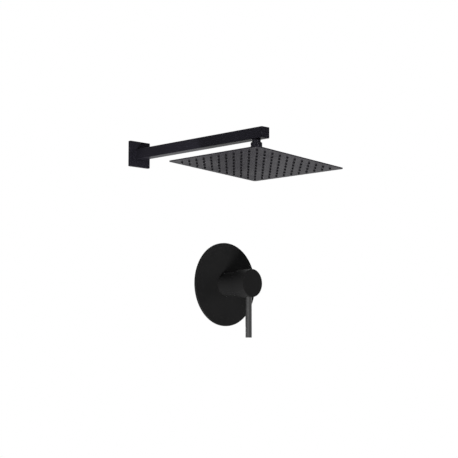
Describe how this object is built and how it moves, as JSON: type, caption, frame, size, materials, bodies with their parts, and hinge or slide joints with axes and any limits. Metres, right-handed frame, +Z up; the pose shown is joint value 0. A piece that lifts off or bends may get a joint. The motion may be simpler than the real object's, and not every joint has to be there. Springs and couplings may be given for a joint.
{
  "type": "wall-mounted rain shower set",
  "caption": "Matte black wall-mounted rain shower: square arm with a swivelling square rain head, and a concealed lever mixer with a round trim plate.",
  "frame": {"origin": "where the axis of the shower arm meets the finished wall", "axes": "the finished wall is the plane Y = 0, the set stands out towards -Y, buried parts lie at +Y, +X is right as seen from the room and +Z is up"},
  "size_m": [0.5017, 0.55, 0.441],
  "materials": {
    "matte_black": "fine matte black powder coat with a soft sheen",
    "spray_face": "satin graphite black coat on flat steel",
    "nozzle_silicone": "soft black silicone",
    "black_rubber": "moulded nitrile rubber",
    "foam": "closed-cell foam",
    "raw_brass": "cast and turned brass, unpolished",
    "stainless": "turned stainless steel",
    "acetal": "natural white moulded plastic",
    "ceramic": "lapped alumina"
  },
  "bodies": {
    "root": {"wall_flange": "matte_black", "flange_seal": "black_rubber", "shower_arm": "matte_black", "arm_inlet_nipple": "raw_brass", "arm_end_cap": "matte_black", "arm_outlet_nipple": "matte_black", "inlet_filter": "stainless", "inlet_washer": "black_rubber", "flow_restrictor": "acetal", "ball_stem": "matte_black", "mixer_body": "raw_brass", "cartridge_base": "acetal", "cartridge_seals": "black_rubber", "fixed_disc": "ceramic", "cartridge_housing": "acetal", "retaining_nut": "raw_brass", "sleeve_o_rings": "black_rubber", "plate_o_ring": "black_rubber", "plate_gasket": "foam", "trim_plate": "matte_black", "sleeve": "matte_black"},
    "turner": {"cartridge_rotor": "acetal", "pivot_pin": "stainless"},
    "handle": {"spindle": "raw_brass", "handle_hub": "matte_black", "lever_rod": "matte_black", "hub_set_screw": "stainless", "set_screw_cover": "matte_black"},
    "disc": {"moving_disc": "ceramic", "disc_carrier": "acetal"},
    "side_ring": {"upper_ball_liner": "acetal"},
    "front_ring": {"lower_ball_liner": "black_rubber"},
    "head": {"swivel_collar": "matte_black", "head_inlet_boss": "matte_black", "head_top_plate": "matte_black", "head_face_plate": "spray_face", "nozzle_mat": "nozzle_silicone"}
  },
  "joints": [
    {"name": "handle_turn", "type": "hinge", "parent": "root", "child": "turner", "pos_m": [0.2735, -0.054, -0.284], "axis": [0, -1, 0], "range_deg": [-45, 45]},
    {"name": "handle_lift", "type": "hinge", "parent": "turner", "child": "handle", "pos_m": [0.2735, -0.054, -0.284], "axis": [-1, 0, 0], "range_deg": [0, 20]},
    {"name": "disc_slide", "type": "slide", "parent": "turner", "child": "disc", "axis": [0, 0, -1], "range_m": [0, 0.0037]},
    {"name": "head_tilt_side", "type": "hinge", "parent": "root", "child": "side_ring", "pos_m": [0, -0.374, -0.0422], "axis": [0, 1, 0], "range_deg": [-15.5, 8.5]},
    {"name": "head_tilt_front", "type": "hinge", "parent": "side_ring", "child": "front_ring", "pos_m": [0, -0.374, -0.0422], "axis": [0.9981, 0, -0.061], "range_deg": [-12, 12]},
    {"name": "head_spin", "type": "hinge", "parent": "front_ring", "child": "head", "pos_m": [0, -0.374, -0.0422], "axis": [0.061, 0, 0.9981], "continuous": true}
  ],
  "couplings": [
    {"joint": "disc_slide", "follows": "handle_lift", "m_per_rad": 0.0105}
  ]
}
